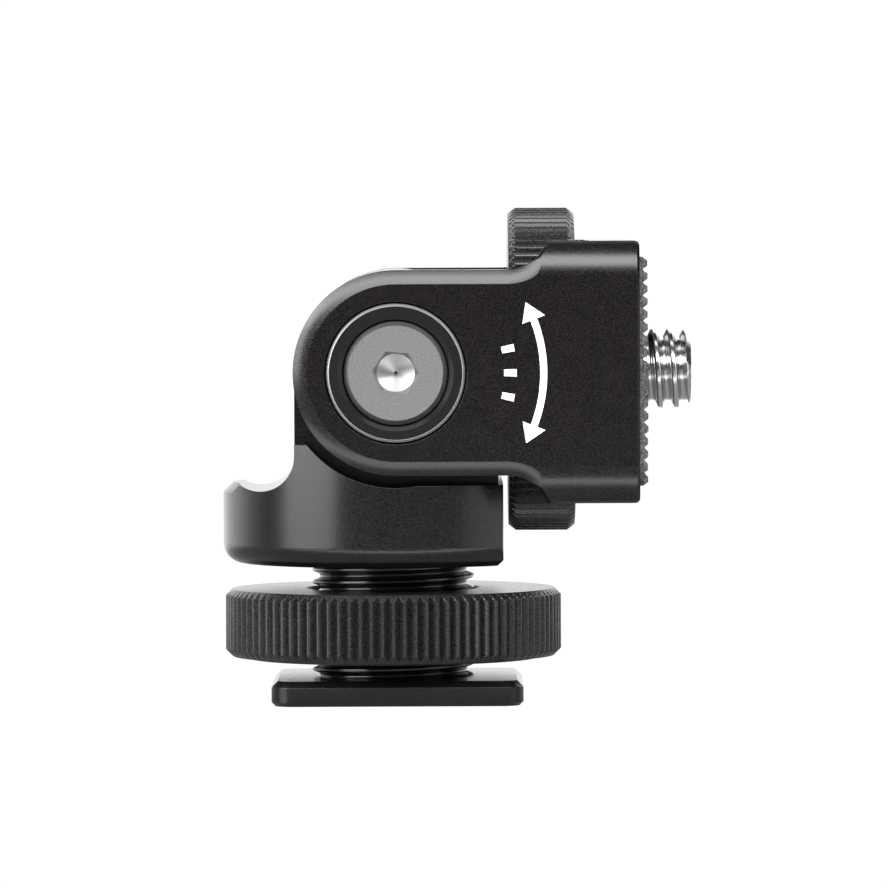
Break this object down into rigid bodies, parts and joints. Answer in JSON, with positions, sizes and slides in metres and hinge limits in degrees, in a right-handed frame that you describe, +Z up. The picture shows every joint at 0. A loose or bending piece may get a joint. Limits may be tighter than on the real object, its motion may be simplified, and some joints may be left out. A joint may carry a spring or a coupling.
{
  "type": "cold shoe tilt bracket",
  "caption": "Cold-shoe foot with a knurled lock ring, a swivel base and a forked tilt arm that carries a captive threaded stud, thumb wheel and grip pad.",
  "frame": {"origin": "centre of the shoe foot's bottom face, straight under the tilt axis", "axes": "+Z up along the stem, +X along the arm and out of the stud at rest, +Y away from the side with the tension screw"},
  "size_m": [0.0375, 0.029, 0.0394],
  "materials": {
    "black_anodised": "bead-blasted, black anodised, satin",
    "black_knurled": "knurled, black anodised",
    "black_steel": "blackened steel, satin",
    "bright_steel": "fine matt turned face, bright socket",
    "stud_steel": "polished stainless thread",
    "spring_steel": "plain spring steel",
    "bronze": "plain sintered bronze",
    "nylon": "black nylon",
    "pad_rubber": "moulded rubber with small pyramids"
  },
  "bodies": {
    "foot": {"shoe_foot": "black_anodised", "threaded_stem": "black_steel"},
    "ring": {"clamp_ring": "nylon"},
    "knob": {"lock_knob": "black_knurled"},
    "base": {"swivel_base": "black_anodised", "swivel_bolt": "black_steel", "swivel_springs": "spring_steel", "swivel_washer": "nylon", "pivot_bush": "bronze"},
    "arm": {"tilt_arm": "black_anodised", "front_cup_washer": "black_steel", "rear_cup_washer": "black_steel", "pivot_nut": "bright_steel", "pivot_springs": "spring_steel", "front_friction_washer": "nylon", "rear_friction_washer": "nylon", "grip_pad": "pad_rubber"},
    "screw": {"pivot_bolt": "bright_steel"},
    "thrust": {"thrust_washer": "nylon"},
    "wheel": {"thumb_wheel": "black_knurled", "mounting_stud": "stud_steel", "stud_clip": "spring_steel"}
  },
  "joints": [
    {"name": "knob_travel", "type": "slide", "parent": "foot", "child": "ring", "axis": [0, 0, 1], "range_m": [-0.0012, 0.0016]},
    {"name": "knob_turn", "type": "hinge", "parent": "ring", "child": "knob", "pos_m": [-0.00035, 0, 0.0063], "axis": [0, 0, 1], "range_deg": [-432.5, 576.5]},
    {"name": "base_swivel", "type": "hinge", "parent": "foot", "child": "base", "pos_m": [-0.00035, 0, 0.0116], "axis": [0, 0, 1], "continuous": true},
    {"name": "arm_tilt", "type": "hinge", "parent": "base", "child": "arm", "pos_m": [0, 0, 0.0265], "axis": [0, -1, 0], "range_deg": [0, 150]},
    {"name": "tension_turn", "type": "hinge", "parent": "arm", "child": "screw", "pos_m": [0, 0, 0.0265], "axis": [0, -1, 0], "range_deg": [-180, 90]},
    {"name": "stud_slide", "type": "slide", "parent": "arm", "child": "thrust", "axis": [1, 0, 0], "range_m": [0, 0.0006]},
    {"name": "wheel_turn", "type": "hinge", "parent": "thrust", "child": "wheel", "pos_m": [0.01155, 0, 0.0265], "axis": [1, 0, 0], "continuous": true}
  ],
  "couplings": [
    {"joint": "knob_turn", "follows": "knob_travel", "rad_per_m": 6283.2}
  ]
}
